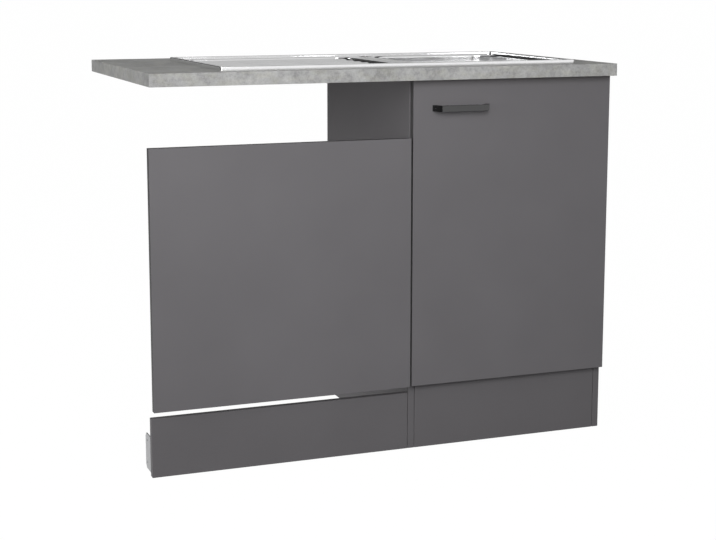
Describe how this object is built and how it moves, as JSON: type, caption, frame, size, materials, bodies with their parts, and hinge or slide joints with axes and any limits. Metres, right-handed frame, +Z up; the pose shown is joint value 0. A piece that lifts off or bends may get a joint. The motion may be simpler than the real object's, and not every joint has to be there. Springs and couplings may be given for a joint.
{
  "type": "kitchen sink unit",
  "caption": "Kitchen sink unit: base cabinet with hinged door, open dishwasher bay with its own front and plinth, worktop with inset steel sink, drainer, waste and trap.",
  "frame": {"origin": "on the floor, in the middle of the rectangle that the worktop covers", "axes": "+X along the worktop to the viewer's right, +Y back to the wall, +Z up; the fronts face -Y"},
  "size_m": [1.1, 0.6, 0.887],
  "materials": {
    "chipboard": "raw chipboard",
    "laminate": "matt laminate, concrete look",
    "edging": "matt edge band, concrete look",
    "sink_steel": "satin stainless steel",
    "waste_steel": "polished stainless steel",
    "zinc_steel": "zinc-plated",
    "nickel_steel": "nickel-plated",
    "seal_foam": "black foam strip",
    "rubber": "black rubber",
    "white_plastic": "white moulded plastic",
    "carcass": "anthracite melamine-faced board",
    "front": "anthracite melamine-faced board, matt",
    "dowel_wood": "beech",
    "black_metal": "matt black",
    "bumper": "clear soft pad"
  },
  "bodies": {
    "cabinet": {"worktop_core": "chipboard", "worktop_laminate": "laminate", "worktop_front_edging": "edging", "worktop_left_edging": "edging", "worktop_right_edging": "edging", "sink_deck": "sink_steel", "sink_bowl": "sink_steel", "sink_seal": "seal_foam", "sink_clips": "zinc_steel", "sink_clip_screws": "zinc_steel", "waste_cup": "waste_steel", "waste_screw": "waste_steel", "waste_gasket": "rubber", "waste_body": "white_plastic", "overflow_rosette": "waste_steel", "overflow_housing": "white_plastic", "overflow_pipe": "white_plastic", "trap_tailpiece": "white_plastic", "trap_bend": "white_plastic", "trap_arm": "white_plastic", "trap_nuts": "white_plastic", "side_left": "carcass", "side_right": "carcass", "bottom_board": "carcass", "front_rail": "carcass", "back_rail_upper": "carcass", "back_rail_lower": "carcass", "carcass_dowels": "dowel_wood", "cam_bolts": "zinc_steel", "cam_locks": "zinc_steel", "worktop_angles": "zinc_steel", "worktop_angle_screws": "zinc_steel", "cabinet_plinth": "carcass", "dishwasher_plinth": "carcass", "plinth_end_bracket": "zinc_steel", "plinth_joint_bracket": "zinc_steel", "cabinet_plinth_brackets": "zinc_steel", "plinth_bracket_screws": "zinc_steel", "hinge_arms": "nickel_steel", "hinge_arm_pins": "nickel_steel", "hinge_plates": "nickel_steel", "hinge_plate_screws": "nickel_steel", "hinge_arm_screws": "nickel_steel"},
    "door": {"door_panel": "front", "door_bumpers": "bumper", "handle": "black_metal", "handle_screws": "zinc_steel", "hinge_cups": "nickel_steel", "hinge_cup_screws": "nickel_steel", "hinge_cup_pins": "nickel_steel"},
    "links": {"hinge_links": "nickel_steel"},
    "dishwasher_door": {"dishwasher_front": "front"},
    "basket": {"waste_basket": "waste_steel", "basket_stopper": "rubber", "basket_knob": "waste_steel"}
  },
  "joints": [
    {"name": "door_hinge", "type": "hinge", "parent": "cabinet", "child": "door", "pos_m": [0.544, -0.262, 0.5], "axis": [0, 0, 1], "range_deg": [0, 95]},
    {"name": "hinge_link", "type": "hinge", "parent": "door", "child": "links", "pos_m": [0.54142, -0.25831, 0.5], "axis": [0, 0, 1], "range_deg": [-127, 0]},
    {"name": "dishwasher_front_hinge", "type": "hinge", "parent": "cabinet", "child": "dishwasher_door", "pos_m": [-0.25, -0.232, 0.125], "axis": [1, 0, 0], "range_deg": [0, 90]},
    {"name": "basket_lift", "type": "slide", "parent": "cabinet", "child": "basket", "axis": [0, 0, 1], "range_m": [0, 0.008]}
  ],
  "couplings": [
    {"joint": "hinge_link", "follows": "door_hinge", "ratio": -1.326}
  ]
}
